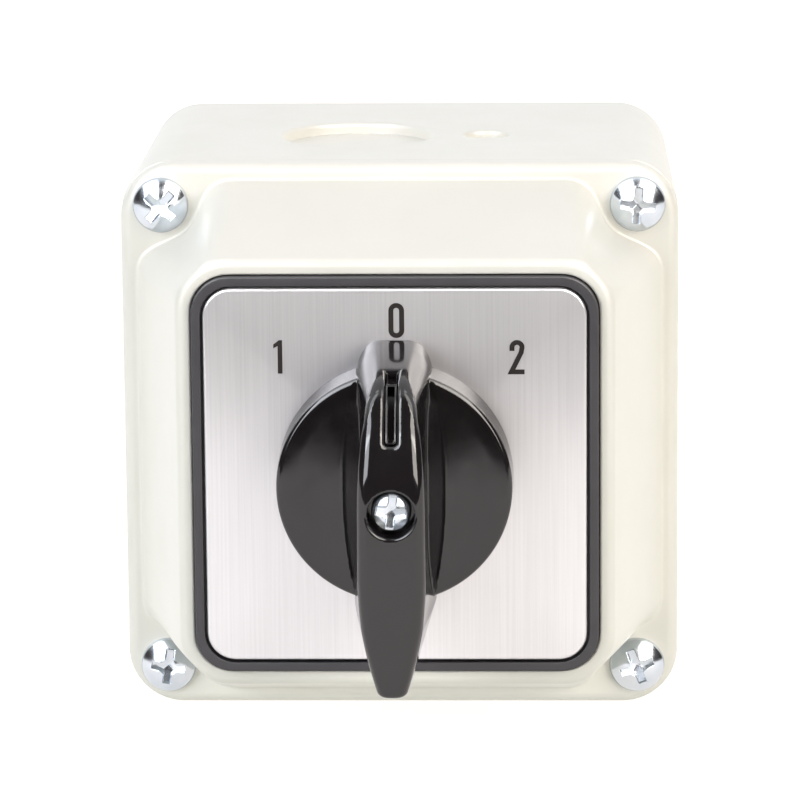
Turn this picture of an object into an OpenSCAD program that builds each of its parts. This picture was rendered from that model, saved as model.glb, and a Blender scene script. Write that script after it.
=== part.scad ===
// Rotary cam change-over switch (positions 1 - 0 - 2) in a surface-mounted enclosure.
// Millimetres. X is right, Z is up and the front faces -Y. The origin is the centre of the back
// mounting face. A level is a distance in front of that face, so a level of 65 lies at y = -65.

/* [Enclosure] */
// Width and height over the flange
flange_w = 90; // [88:1:100]
// Width and height of the back, smaller by the mould's draft
back_w = 88; // [86:1:88]
// Level of the joint between base and cover
joint_level = 61.5; // [58:0.5:66]
// Thickness of the cover's flange
flange_t = 3.5; // [3:0.5:5]
// Height of the cover's raised front over the flange
dome_h = 26; // [24:1:28]
// Width of the raised front at its foot
dome_foot_w = 84.6; // [83:0.2:85]
// Width of the raised front at its rim
dome_rim_w = 68.6; // [68:0.2:70]
// Wall thickness of base and cover
wall = 3; // [2.6:0.1:3]
// Distance between cover screws, both ways
cover_screw_pitch = 76.7; // [76:0.1:77.5]
// Distance between wall fixing holes, both ways
wall_hole_pitch = 60; // [52:1:62]
// Diameter of a wall fixing hole
wall_hole_d = 4.5; // [4:0.1:5.5]

/* [Cable entries] */
// Diameter of the large knock-out
knockout_d = 24.6; // [20:0.1:26]
// Diameter of the small knock-out
small_knockout_d = 7.5; // [6:0.1:9]
// Depth of the large knock-out's recess
knockout_depth = 1.9; // [1:0.1:2]
// Level of both knock-outs' centres
knockout_level = 36; // [30:1:40]
// How far the large knock-out lies left of the middle
knockout_left = 7.6; // [7:0.1:9]
// How far the small knock-out lies right of the middle
small_knockout_right = 13.8; // [13.5:0.1:20]

/* [Front plate] */
// Width and height of the escutcheon frame
frame_w = 64; // [63.6:0.2:64]
// How far the frame stands proud of the cover
frame_proud = 1; // [0.5:0.1:2]
// Width and height of the metal face plate
plate_w = 60.2; // [59:0.2:60.2]
// Distance between escutcheon screws, both ways
escutcheon_screw_pitch = 48; // [47:0.5:48]

/* [Handle] */
// Radius of the handle's disc
disc_r = 18.45; // [17:0.05:20]
// Height of the lever's crest over the frame
lever_h = 26; // [24:0.5:28]
// Half of the travel between positions 1 and 2, in degrees
throw_deg = 45; // [45]

/* [Contacts] */
// Number of contact decks
deck_count = 3; // [3]
// Width and height of a deck
deck_w = 45; // [45:0.5:46]
// Depth of a deck
deck_t = 9.6; // [9.6:0.1:10]
// Mean radius of the contact cams
cam_r = 7.5; // [7.4:0.1:7.6]
// Lift of a contact between two positions
contact_lift = 1.2; // [1:0.1:1.2]

/* [Hidden] */
$fn = 48;
HULL_FN = 32;
SKIN = 0.01;         // thickness of the slices that a hull joins
PRESS_GAP = 0.05;    // clearance between pieces that are fixed together
RUN_GAP = 0.05;      // radial clearance of a turning or sliding fit

flange_level = joint_level + flange_t;
dome_level = flange_level + dome_h;
frame_level = dome_level + frame_proud;
pocket_level = dome_level - 4;
panel_back_level = pocket_level - wall;
plate_level = frame_level - 0.1;
plate_t = 1.6;
screw_at = cover_screw_pitch / 2;
escutcheon_screw_at = escutcheon_screw_pitch / 2;
escutcheon_hole_r = 2.25;
escutcheon_seat_level = pocket_level + 0.9;
corner_r = 9;
back_corner_r = 8;
cavity_r = 6;
notch_foot_r = 5.85;
notch_rim_r = 8.6;
post_r = 4.6;
frame_r = 6;
frame_hole_r = 9;
plate_r = 4.5;
cover_screw_r = 1.95;
cover_head_r = 4.5;
small_knockout_depth = knockout_depth - 0.6;
gasket_out = flange_w / 2 - 0.8;
gasket_in = gasket_out - 1.3;
gasket_t = 1.4;

mounting_plate_w = 60;
mounting_plate_t = 4;
mounting_plate_level = panel_back_level - mounting_plate_t;
detent_t = 12;
detent_level = mounting_plate_level - detent_t;
stack_level = detent_level - deck_count * deck_t;
end_cover_t = 3.2;
end_level = stack_level - end_cover_t;
deck_floor_t = 1.6;

shaft_side = 7;
shaft_collar_r = 5.5;
shaft_front_level = frame_level + 14;
journal_r = 3;
tie_at = 17.5;
tie_r = 1.75;

notch_step_deg = 45;
star_peak_r = 9.5;
star_valley_r = 8.3;
slider_nose_z = star_peak_r + 0.08;
slider_nose_r = 1.2;
detent_pocket_level = detent_level + 7.6;
stop_pocket_level = detent_level + 8.4;
stop_pocket_r = 15.2;
stop_from = stop_pocket_level + 0.4;
stop_to = mounting_plate_level - 0.4;
stop_arm_r = 14.5;
stop_arm_half = 2.5;
spring_r = 1.9;
spring_wire_r = 0.3;

cam_rate = contact_lift / throw_deg;      // lift per degree
plunger_foot_z = cam_r + 0.06;
bridge_z = 15;
bridge_t = 1.2;
strip_z = 12;
strip_t = 1;
tip_top_z = bridge_z - contact_lift - 0.05;
chamber_top_z = 21.5;
chamber_half_w = 11.5;
cam_pocket_r = 10.4;
plunger_half_w = 2.5;
plunger_nose_r = 0.8;
terminal_x = 17.2;

handle_level = frame_level + 0.4;
disc_level = frame_level + 8.5;
crest_level = frame_level + lever_h;
lever_half_w = 5.1;
nose_z = 15.6;
nose_foot_r = 6.5;
tail_z = -26.6;
tail_tip_r = 2.2;
groove_x = 7;
groove_r = 2.6;
hub_r = 7.4;
screw_recess_r = 3.7;
screw_seat_level = crest_level - 4;
slot_half = 0.95;
slot_from_z = 10;
slot_knee_z = 17;
slot_to_z = 24;
slot_depth = 13;

SIDES = [-1, 1];
DECKS = [1:deck_count];

ENCLOSURE = [0.93, 0.93, 0.9];
BLACK = [0.06, 0.06, 0.07];
SATIN_BLACK = [0.14, 0.14, 0.15];
BRUSHED = [0.78, 0.78, 0.78];
ZINC = [0.8, 0.82, 0.84];
STEEL = [0.6, 0.62, 0.65];
BRASS = [0.8, 0.66, 0.32];
SILVER = [0.86, 0.86, 0.84];
RUBBER = [0.1, 0.1, 0.1];
NYLON = [0.82, 0.8, 0.72];
RED_PLASTIC = [0.7, 0.12, 0.1];

// ---- shape helpers ----

// A flat outline drawn in X and Z, filled between two levels.
module prism(from, to) {
    translate([0, -from, 0]) rotate([90, 0, 0]) linear_extrude(to - from) children();
}

// A round bar along Y between two levels.
module rod(from, to, r) {
    translate([0, -from, 0]) rotate([90, 0, 0]) cylinder(r = r, h = to - from);
}

// A cone along Y between two levels.
module taper_rod(from, to, r_from, r_to) {
    translate([0, -from, 0]) rotate([90, 0, 0]) cylinder(r1 = r_from, r2 = r_to, h = to - from);
}

// A box given by its lowest and highest X and Z, between two levels.
module block(x, z, from, to) {
    translate([x[0], -to, z[0]]) cube([x[1] - x[0], to - from, z[1] - z[0]]);
}

module rounded_square(w, r) {
    square([w, w - 2 * r], center = true);
    square([w - 2 * r, w], center = true);
    for (x = SIDES, z = SIDES) translate([x * (w / 2 - r), z * (w / 2 - r)]) circle(r);
}

// A square block with round corners whose width changes from one level to another.
module tapered_block(from, w_from, r_from, to, w_to, r_to) {
    hull() {
        prism(from, from + SKIN) rounded_square(w_from, r_from, $fn = HULL_FN);
        prism(to - SKIN, to) rounded_square(w_to, r_to, $fn = HULL_FN);
    }
}

// Copies at the four corners of a square pattern.
module at_corners(at) {
    for (x = SIDES, z = SIDES) translate([x * at, 0, z * at]) children();
}

// A side view, drawn as pairs of level and Z, filled to both sides of the middle plane.
module side_profile(points, half_w) {
    translate([-half_w, 0, 0]) rotate([90, 0, 90]) linear_extrude(2 * half_w)
        polygon([for (p = points) [-p[0], p[1]]]);
}

// The lower of two equal parts is the upper one mirrored.
module lower(is_lower) {
    mirror([0, 0, is_lower ? 1 : 0]) children();
}

// Pan head screw along Y with its head towards the front, its seat at level 0.
module pan_screw(shank_r, length, head_r, head_t, slot_deg) {
    slot_w = head_r * 0.28;
    difference() {
        union() {
            rod(-length, SKIN, shank_r);
            rod(0, head_t * 0.55, head_r);
            taper_rod(head_t * 0.55, head_t, head_r, head_r * 0.72);
        }
        rotate([0, slot_deg, 0]) {
            block([-slot_w / 2, slot_w / 2], [-head_r - 1, head_r + 1], head_t * 0.62, head_t + 1);
            block([-head_r * 0.55, head_r * 0.55], [-slot_w / 2, slot_w / 2], head_t * 0.4, head_t + 1);
        }
    }
}

// A helical wire along +Z from z0 to z1.
module coil_spring(z0, z1, coil_r, wire_r, turns) {
    ring_sides = 6;
    steps = turns * 12;
    centre = function(i) [
        coil_r * cos(360 * i / 12),
        coil_r * sin(360 * i / 12),
        z0 + wire_r + (z1 - z0 - 2 * wire_r) * i / steps
    ];
    ring = [for (i = [0:steps], j = [0:ring_sides - 1])
        let (a = 360 * i / 12, b = 360 * j / ring_sides, c = centre(i))
        c + wire_r * [cos(b) * cos(a), cos(b) * sin(a), sin(b)]];
    sides = [for (i = [0:steps - 1], j = [0:ring_sides - 1])
        let (k = (j + 1) % ring_sides, a = i * ring_sides, b = a + ring_sides)
        [a + j, b + j, b + k, a + k]];
    first_cap = [[for (j = [0:ring_sides - 1]) j]];
    last_cap = [[for (j = [ring_sides - 1:-1:0]) steps * ring_sides + j]];
    polyhedron(points = ring, faces = concat(sides, first_cap, last_cap));
}

// ---- enclosure ----

module knockout_recesses() {
    for (z = SIDES) lower(z < 0) {
        translate([-knockout_left, -knockout_level, flange_w / 2 - knockout_depth])
            cylinder(d = knockout_d, h = 5);
        translate([small_knockout_right, -knockout_level, flange_w / 2 - small_knockout_depth])
            cylinder(d = small_knockout_d, h = 5);
    }
}

module enclosure_base() {
    cavity_w = flange_w - 2 * wall;
    color(ENCLOSURE) difference() {
        union() {
            difference() {
                tapered_block(0, back_w, back_corner_r, joint_level, flange_w, corner_r);
                tapered_block(wall, cavity_w - 2, cavity_r - 1, joint_level + 1, cavity_w, cavity_r);
            }
            at_corners(screw_at) rod(wall - SKIN, joint_level, post_r);
        }
        difference() {
            prism(joint_level - gasket_t, joint_level + 1) rounded_square(2 * gasket_out, 8.2);
            prism(joint_level - gasket_t - 1, joint_level + 2) rounded_square(2 * gasket_in, 6.9);
        }
        at_corners(screw_at) rod(joint_level - 20, joint_level + 1, 2);
        at_corners(wall_hole_pitch / 2) rod(-1, wall + 1, wall_hole_d / 2);
        knockout_recesses();
    }
}

module enclosure_cover() {
    cavity_foot = dome_foot_w - 2 * wall;
    cavity_rim = dome_rim_w + (dome_foot_w - dome_rim_w) * (dome_level - panel_back_level) / dome_h
        - 2 * wall;
    color(ENCLOSURE) difference() {
        union() {
            prism(joint_level, flange_level - 1) rounded_square(flange_w, corner_r);
            tapered_block(flange_level - 1, flange_w, corner_r, flange_level, flange_w - 1.4,
                corner_r - 0.7);
            difference() {
                tapered_block(flange_level - SKIN, dome_foot_w, 6, dome_level, dome_rim_w, 7);
                at_corners(screw_at)
                    taper_rod(flange_level, dome_level + 1, notch_foot_r, notch_rim_r);
            }
        }
        difference() {
            tapered_block(joint_level - 1, cavity_foot, cavity_r, panel_back_level, cavity_rim, cavity_r);
            at_corners(screw_at)
                taper_rod(joint_level - 2, panel_back_level + 1, notch_foot_r + wall, notch_rim_r + wall);
        }
        prism(pocket_level, dome_level + 1) rounded_square(frame_w + 0.3, frame_r + 0.15);
        rod(panel_back_level - 1, pocket_level + 1, frame_hole_r);
        at_corners(escutcheon_screw_at)
            rod(panel_back_level - 1, pocket_level + 1, escutcheon_hole_r);
        at_corners(screw_at) rod(joint_level - 1, flange_level + 1, cover_screw_r + 0.35);
    }
}

module cover_gasket() {
    color(RUBBER) difference() {
        prism(joint_level - gasket_t + PRESS_GAP, joint_level - PRESS_GAP)
            rounded_square(2 * (gasket_out - PRESS_GAP), 8.15);
        prism(joint_level - gasket_t - 1, joint_level + 1)
            rounded_square(2 * (gasket_in + PRESS_GAP), 6.95);
    }
}

module cover_screws() {
    slot_degs = [[8, 41], [-21, 6]];
    color(ZINC) for (i = [0, 1], j = [0, 1])
        translate([SIDES[i] * screw_at, -flange_level, SIDES[j] * screw_at])
            pan_screw(cover_screw_r, 21, cover_head_r, 2.8, slot_degs[i][j]);
}

// ---- escutcheon ----

module escutcheon_frame() {
    color(SATIN_BLACK) difference() {
        prism(pocket_level, frame_level) rounded_square(frame_w, frame_r);
        prism(plate_level - plate_t - 0.05, frame_level + 1) rounded_square(plate_w + 0.2, plate_r + 0.1);
        rod(pocket_level - 1, frame_level, frame_hole_r);
        at_corners(escutcheon_screw_at) {
            rod(pocket_level - 1, frame_level, escutcheon_hole_r);
            rod(escutcheon_seat_level, frame_level, 4);
        }
    }
}

module face_plate() {
    color(BRUSHED) difference() {
        prism(plate_level - plate_t, plate_level) rounded_square(plate_w, plate_r);
        rod(plate_level - plate_t - 1, plate_level + 1, 8);
    }
}

module escutcheon_screws() {
    color(ZINC) at_corners(escutcheon_screw_at)
        translate([0, -escutcheon_seat_level, 0]) pan_screw(cover_screw_r, 7.4, 3.8, 2.2, 45);
}

// ---- handle and shaft ----

// The lever: a bow at the top, a waist over the axis and a tail below.
module lever() {
    $fn = HULL_FN;
    bow_level = frame_level + 13;
    hull() {
        translate([0, 0, nose_z]) rod(handle_level, handle_level + 1, nose_foot_r);
        translate([0, 0, nose_z - 0.7]) rod(bow_level, bow_level + 1, nose_foot_r - 0.9);
        translate([0, 0, nose_z / 2 + 0.2]) rod(crest_level - 3, crest_level - 2, 3.8);
        rod(handle_level, crest_level, lever_half_w);
    }
    hull() {
        rod(handle_level, crest_level, lever_half_w);
        translate([0, 0, -11.5]) rod(handle_level, handle_level + 2, nose_foot_r - 0.2);
        translate([0, 0, tail_z]) rod(crest_level - 8, crest_level - 0.5, tail_tip_r);
    }
}

module handle() {
    color(BLACK) difference() {
        union() {
            difference() {
                union() {
                    rod(handle_level, disc_level - 0.5, disc_r);
                    taper_rod(disc_level - 0.5, disc_level + 2.5, disc_r - 0.2, 8);
                }
                for (x = SIDES) translate([x * groove_x, -(disc_level + groove_r), -20])
                    cylinder(r = groove_r, h = 40);
            }
            lever();
            rod(plate_level - plate_t + 0.4, handle_level + SKIN, hub_r);
        }
        rod(screw_seat_level, crest_level + 1, screw_recess_r);
        rod(shaft_front_level - 1, screw_seat_level + 1, 1.9);
        block([-3.55, 3.55], [-3.55, 3.55], plate_level - plate_t, shaft_front_level + 0.05);
        side_profile([[crest_level + 1, slot_from_z], [crest_level - 5, slot_from_z],
            [crest_level - slot_depth, slot_knee_z], [crest_level - slot_depth, slot_to_z],
            [crest_level + 1, slot_to_z]], slot_half);
    }
}

module pointer_insert() {
    gap = PRESS_GAP;
    top_z = slot_from_z + gap;
    knee_z = slot_knee_z + gap;
    color(BLACK) side_profile([[crest_level - 2.6, top_z], [crest_level - 5 + gap, top_z],
        [crest_level - slot_depth + gap, knee_z], [crest_level - slot_depth + 2.5, knee_z]],
        slot_half - gap);
}

module handle_screw() {
    color(ZINC) translate([0, -screw_seat_level, 0])
        pan_screw(1.75, 14, 3.1, 2.2, 7);
}

module shaft() {
    half = shaft_side / 2;
    color(STEEL) difference() {
        union() {
            block([-half, half], [-half, half], stack_level + PRESS_GAP, shaft_front_level);
            rod(detent_level + 8, plate_level - plate_t, shaft_collar_r);
            rod(end_level, stack_level + 1, journal_r);
        }
        rod(shaft_front_level - 10, shaft_front_level + 1, 1.8);
    }
}

module shaft_seal() {
    color(RUBBER) difference() {
        rod(panel_back_level + PRESS_GAP, pocket_level - PRESS_GAP, frame_hole_r - PRESS_GAP);
        rod(panel_back_level - 1, pocket_level + 1, shaft_collar_r + RUN_GAP);
    }
}

// ---- switch body ----

module tie_holes(from, to) {
    for (x = SIDES) translate([x * tie_at, 0, 0]) rod(from, to, tie_r + 0.1);
}

module mounting_plate() {
    color(SATIN_BLACK) difference() {
        prism(mounting_plate_level, panel_back_level) rounded_square(mounting_plate_w, 6);
        rod(mounting_plate_level - 1, panel_back_level + 1, shaft_collar_r + RUN_GAP);
        at_corners(escutcheon_screw_at) rod(mounting_plate_level - 1, panel_back_level + 1, 2);
        tie_holes(mounting_plate_level - 1, panel_back_level + 1);
        for (x = SIDES) translate([x * tie_at, 0, 0]) rod(panel_back_level - 1.8, panel_back_level + 1, 3.1);
    }
}

// The stop plate's arm meets one of two lugs at each end of the travel.
module stop_lugs() {
    for (s = SIDES) rotate([0, s * throw_deg, 0]) {
        near = stop_arm_half + RUN_GAP;
        lug_x = s > 0 ? [near, near + 5] : [-near - 5, -near];
        block(lug_x, [11, 17], stop_pocket_level, mounting_plate_level - PRESS_GAP);
    }
}

module detent_housing() {
    half = deck_w / 2;
    color(NYLON) difference() {
        union() {
            difference() {
                block([-half, half], [-half, half], detent_level, mounting_plate_level);
                rod(stop_pocket_level, mounting_plate_level + 1, stop_pocket_r);
                rod(detent_level + deck_floor_t, detent_level + 9, star_peak_r + 0.6);
                for (z = SIDES) lower(z < 0)
                    block([-4, 4], [8, chamber_top_z], detent_level + deck_floor_t, detent_pocket_level);
            }
            intersection() {
                stop_lugs();
                rod(detent_level, mounting_plate_level, stop_pocket_r + 0.3);
            }
        }
        rod(detent_level - 1, detent_level + 9, shaft_collar_r + 0.3);
        tie_holes(detent_level - 1, mounting_plate_level + 1);
    }
}

module stop_plate() {
    color(STEEL) difference() {
        union() {
            rod(stop_from, stop_to, 8);
            block([-stop_arm_half, stop_arm_half], [0, stop_arm_r], stop_from, stop_to);
        }
        rod(stop_from - 1, stop_to + 1, shaft_collar_r + PRESS_GAP);
    }
}

// A wheel with a notch every 45 degrees.
module detent_wheel() {
    mean_r = (star_peak_r + star_valley_r) / 2;
    wave = (star_peak_r - star_valley_r) / 2;
    star = [for (a = [0:5:355]) let (r = mean_r - wave * cos(360 * a / notch_step_deg))
        r * [sin(a), cos(a)]];
    half = shaft_side / 2 + PRESS_GAP;
    color(RED_PLASTIC) difference() {
        prism(detent_level + 2, detent_pocket_level) polygon(star);
        block([-half, half], [-half, half], detent_level, detent_level + 9);
    }
}

module detent_slider() {
    from = detent_level + 2.2;
    to = detent_level + 7.2;
    color(NYLON) {
        prism(from, to) translate([0, slider_nose_z + slider_nose_r]) circle(slider_nose_r);
        block([-slider_nose_r, slider_nose_r], [slider_nose_z + slider_nose_r, slider_nose_z + 2.4],
            from, to);
        block([-3.9, 3.9], [slider_nose_z + 2.2, 15.5], from, to);
    }
}

module detent_spring() {
    translate([0, -detent_level - 4.7, 0])
        color(STEEL) coil_spring(15.55, chamber_top_z - 0.05, spring_r, spring_wire_r, 5);
}

// The back level of a deck, counted from 1 at the front.
function deck_back(n) = detent_level - n * deck_t;

module deck_housing(n) {
    back = deck_back(n);
    front = back + deck_t;
    half = deck_w / 2;
    floor_level = back + deck_floor_t;
    color(n % 2 == 1 ? SATIN_BLACK : NYLON) difference() {
        block([-half, half], [-half, half], back, front);
        rod(floor_level, front + 1, cam_pocket_r);
        rod(back - 1, front + 1, shaft_collar_r);
        tie_holes(back - 1, front + 1);
        for (z = SIDES) lower(z < 0) {
            block([-plunger_half_w - 0.1, plunger_half_w + 0.1], [8, 13], floor_level, front + 1);
            block([-chamber_half_w, chamber_half_w], [12.9, chamber_top_z], floor_level, front + 1);
            for (x = SIDES) mirror([x < 0 ? 1 : 0, 0, 0]) {
                block([6.4, 13], [strip_z - PRESS_GAP, 13.1], floor_level + 1, front + 1);
                block([12.9, half + 1], [strip_z - PRESS_GAP, half + 1], floor_level, front + 1);
                translate([terminal_x, -(back + 5), 5]) cylinder(r = 1.8, h = 8);
            }
        }
    }
}

// The top follower rises with the turn towards position 2 while the bottom one falls.
module deck_cam(n) {
    lift = function(a) cam_rate * max(-throw_deg, min(throw_deg, a));
    radius = function(a) a > 90 && a < 270 ? cam_r + lift(a - 180) : cam_r - lift(a > 180 ? a - 360 : a);
    outline = [for (a = [0:3:357]) radius(a) * [sin(a), cos(a)]];
    half = shaft_side / 2 + PRESS_GAP;
    from = deck_back(n) + deck_floor_t + 0.4;
    color(RED_PLASTIC) difference() {
        prism(from, from + 7) polygon(outline);
        block([-half, half], [-half, half], from - 1, from + 8);
    }
}

module deck_plunger(n) {
    from = deck_back(n) + deck_floor_t + 1;
    to = from + 5.6;
    mid = (from + to) / 2;
    color(NYLON) {
        prism(from, to) translate([0, plunger_foot_z + plunger_nose_r]) circle(plunger_nose_r);
        block([-plunger_nose_r, plunger_nose_r], [plunger_foot_z + plunger_nose_r, plunger_foot_z + 2],
            from, to);
        block([-plunger_half_w, plunger_half_w], [plunger_foot_z + 1.8, bridge_z - PRESS_GAP], from, to);
        block([-1, 1], [bridge_z - 1, 18.6], mid - 1, mid + 1);
    }
}

module deck_bridge(n) {
    mid = deck_back(n) + deck_floor_t + 3.8;
    color(SILVER) difference() {
        block([-10, 10], [bridge_z, bridge_z + bridge_t], mid - 2.4, mid + 2.4);
        block([-1.05, 1.05], [bridge_z - 1, bridge_z + 3], mid - 1.05, mid + 1.05);
    }
}

module deck_spring(n) {
    translate([0, -(deck_back(n) + deck_floor_t + 3.8), 0])
        color(STEEL)
            coil_spring(bridge_z + bridge_t + 0.05, chamber_top_z - 0.05, spring_r, spring_wire_r, 4);
}

module deck_terminals(n) {
    from = deck_back(n) + deck_floor_t + 1.1;
    color(BRASS) for (x = SIDES, z = SIDES)
        mirror([x < 0 ? 1 : 0, 0, 0]) lower(z < 0) difference() {
            union() {
                block([6.5, 21.4], [strip_z, strip_z + strip_t], from, from + 5.4);
                block([7, 9.6], [strip_z + 0.5, tip_top_z], from + 1, from + 4.4);
            }
            translate([terminal_x, -(from + 2.3), strip_z - 1]) cylinder(r = 1.8, h = 3);
        }
}

module deck_terminal_screws(n) {
    y = -(deck_back(n) + deck_floor_t + 3.4);
    color(ZINC) for (x = SIDES, z = SIDES) lower(z < 0)
        translate([x * terminal_x, y, strip_z + strip_t + PRESS_GAP]) rotate([-90, 0, 0])
            pan_screw(1.7, 7, 3.1, 2.3, 0);
}

module tie_bolts() {
    seat = panel_back_level - 1.8;
    color(ZINC) for (x = SIDES) translate([x * tie_at, -seat, 0])
        pan_screw(tie_r, seat - end_level + 3, 3, 1.7, 0);
}

module tie_nuts() {
    color(ZINC) for (x = SIDES) translate([x * tie_at, 0, 0]) difference() {
        prism(end_level - 2.6, end_level - PRESS_GAP) circle(3.2, $fn = 6);
        rod(end_level - 3, end_level + 1, tie_r + 0.02);
    }
}

module end_cover() {
    half = deck_w / 2;
    color(SATIN_BLACK) difference() {
        block([-half, half], [-half, half], end_level, stack_level);
        rod(end_level - 1, stack_level + 1, journal_r + RUN_GAP);
        tie_holes(end_level - 1, stack_level + 1);
    }
}

// ---- node selection ----

enclosure_base();
enclosure_cover();
cover_gasket();
cover_screws();
escutcheon_frame();
face_plate();
escutcheon_screws();
handle();
pointer_insert();
handle_screw();
shaft();
shaft_seal();
mounting_plate();
stop_plate();
detent_housing();
detent_wheel();
detent_slider();  // detent_slider_top
lower(true) detent_slider();  // detent_slider_bottom
detent_spring();  // detent_spring_top
lower(true) detent_spring();  // detent_spring_bottom
tie_bolts();
tie_nuts();
end_cover();
for (n = DECKS) {
    deck_housing(n);
    deck_cam(n);
    deck_plunger(n);
    lower(true) deck_plunger(n);
    deck_bridge(n);
    lower(true) deck_bridge(n);
    deck_spring(n);
    lower(true) deck_spring(n);
    deck_terminals(n);
    deck_terminal_screws(n);
}
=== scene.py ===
"""Looks of a rotary change-over switch (positions 1 - 0 - 2) in a surface-mounted enclosure.

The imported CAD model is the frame. The shells, the handle and the screw heads are made here as smooth
distance fields, turned into meshes and placed where the frame's nodes are. Fields work in millimetres.
A level is a distance in front of the back mounting face, so a level of 65 lies at y = -65.
"""
import math

import bpy
import numpy as np
from mathutils import Matrix, Vector


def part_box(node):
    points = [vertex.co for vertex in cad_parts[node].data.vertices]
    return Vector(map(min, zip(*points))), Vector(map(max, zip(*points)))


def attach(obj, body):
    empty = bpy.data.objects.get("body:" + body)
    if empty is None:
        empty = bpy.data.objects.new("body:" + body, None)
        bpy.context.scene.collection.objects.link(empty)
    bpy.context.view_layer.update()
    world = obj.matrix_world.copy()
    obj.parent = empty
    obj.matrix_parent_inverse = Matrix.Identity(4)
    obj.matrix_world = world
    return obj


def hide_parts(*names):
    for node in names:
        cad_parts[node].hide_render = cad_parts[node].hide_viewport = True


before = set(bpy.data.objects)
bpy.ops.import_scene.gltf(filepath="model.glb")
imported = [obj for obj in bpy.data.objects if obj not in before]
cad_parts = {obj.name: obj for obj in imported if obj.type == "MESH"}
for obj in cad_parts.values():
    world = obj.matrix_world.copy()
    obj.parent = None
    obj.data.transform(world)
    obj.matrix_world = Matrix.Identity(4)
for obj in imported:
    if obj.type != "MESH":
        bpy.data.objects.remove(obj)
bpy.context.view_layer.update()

MM = 0.001


def corners_of(node):
    """A CAD node's lowest and highest corners, in millimetres."""
    low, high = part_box(node)
    return np.array(low) / MM, np.array(high) / MM


cover_low, cover_high = corners_of("enclosure_cover")
base_low, _ = corners_of("enclosure_base")
frame_low, frame_high = corners_of("escutcheon_frame")
plate_low, plate_high = corners_of("face_plate")
handle_low, handle_high = corners_of("handle")
screws_low, screws_high = corners_of("cover_screws")
handle_screw_low, handle_screw_high = corners_of("handle_screw")

# Enclosure
FLANGE_HALF = cover_high[0]
JOINT_LEVEL = -cover_high[1]
FLANGE_T = 3.5
FLANGE_LEVEL = JOINT_LEVEL + FLANGE_T
DOME_LEVEL = -cover_low[1]
DOME_H = DOME_LEVEL - FLANGE_LEVEL
DOME_FOOT_HALF = 42.3
DOME_RIM_HALF = 34.3
DOME_CORNER_R = 7.5
SLOPE_SCALE = 0.96  # keeps the dome's field nearly a distance on its sloping sides
BACK_HALF = 44.0
CORNER_R = 9.0
WALL = 3.0
NOTCH_FOOT_R = 5.85
NOTCH_RIM_R = 8.6
SCREW_HEAD_R = 4.5
SCREW_AT = screws_high[0] - SCREW_HEAD_R
COVER_HOLE_R = 2.3
CENTRE_HOLE_R = 9.0
POST_R = 4.6
PILOT_HOLE_R = 2.0
PILOT_HOLE_DEPTH = 20.0
WALL_HOLE_AT = 30.0
WALL_HOLE_R = 2.25
KNOCKOUT_LEVEL = 36.0
KNOCKOUTS = ((-7.6, 12.3, 1.9), (13.8, 3.75, 1.3))  # x of the centre, radius, depth

# Escutcheon
FRAME_FRONT = -frame_low[1]
POCKET_LEVEL = -frame_high[1]
FRAME_HALF = frame_high[0]
FRAME_R = 6.0
POCKET_GAP = 0.15
PLATE_FRONT = -plate_low[1]
PLATE_BACK = -plate_high[1]
PLATE_HALF = plate_high[0]
PLATE_R = 4.5
PLATE_HOLE_R = 8.0
PANEL_BACK = POCKET_LEVEL - WALL

# Handle, with heights over the front of the escutcheon frame
DISC_R = handle_high[0]
CREST_H = -handle_low[1] - FRAME_FRONT
HANDLE_GAP = 0.4
HUB_R = 7.4
HUB_DEPTH = 1.3
SCREW_SEAT_H = CREST_H - 4
RIDGE_R = 23.0
RIDGE_Z = 1.5
NOSE_Z = handle_high[2] - 0.05
NOSE_H = 1.0
NOSE_DRAFT = 0.12
NOSE_CURVE = 0.004
NOSE_FLAT = 0.25  # the nose's flat middle, as a share of the lever's half width
NOSE_DROP = 4.6  # how far the nose falls back at its sides
NOSE_DROP_SLOPE = 19.6
TAIL_Z = -29.1
FOOT_HALF = 5.1
FOOT_SPREAD = 1.4
FOOT_SPREAD_END = 18.5
FOOT_SPREAD_TOP = 17.3
TAIL_TAPER_FROM = 18.3
CREST_HALF = 5.3
CREST_TAPER_END = 13.5
CREASE_X = 8.1
FACE_H = 8.6
WELL_R = 3.7
SLOT_END_Z = 10.4
SLOT_HALF = 0.95
SLOT_DEPTH = 5
SLOT_FLOOR_H = 13.3
SOCKET_HALF = 3.55
SOCKET_TOP_H = 14.05
BORE_R = 1.9
INSERT_HALF = 0.84
INSERT_END_Z = 10.62
GROOVE_HALF = 0.56


# ---- shape fields: negative inside, in millimetres ----

def round_max(a, b, r):
    """What two fields share, with an edge of radius r between them."""
    return np.minimum(np.maximum(a, b), -r) + np.hypot(np.maximum(a + r, 0), np.maximum(b + r, 0))


def round_min(a, b, r):
    """Two fields joined, with a fillet of radius r between them."""
    return -round_max(-a, -b, r)


def rounded_square(x, z, half, r):
    u = np.abs(x) - (half - r)
    v = np.abs(z) - (half - r)
    return np.hypot(np.maximum(u, 0), np.maximum(v, 0)) + np.minimum(np.maximum(u, v), 0) - r


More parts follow.
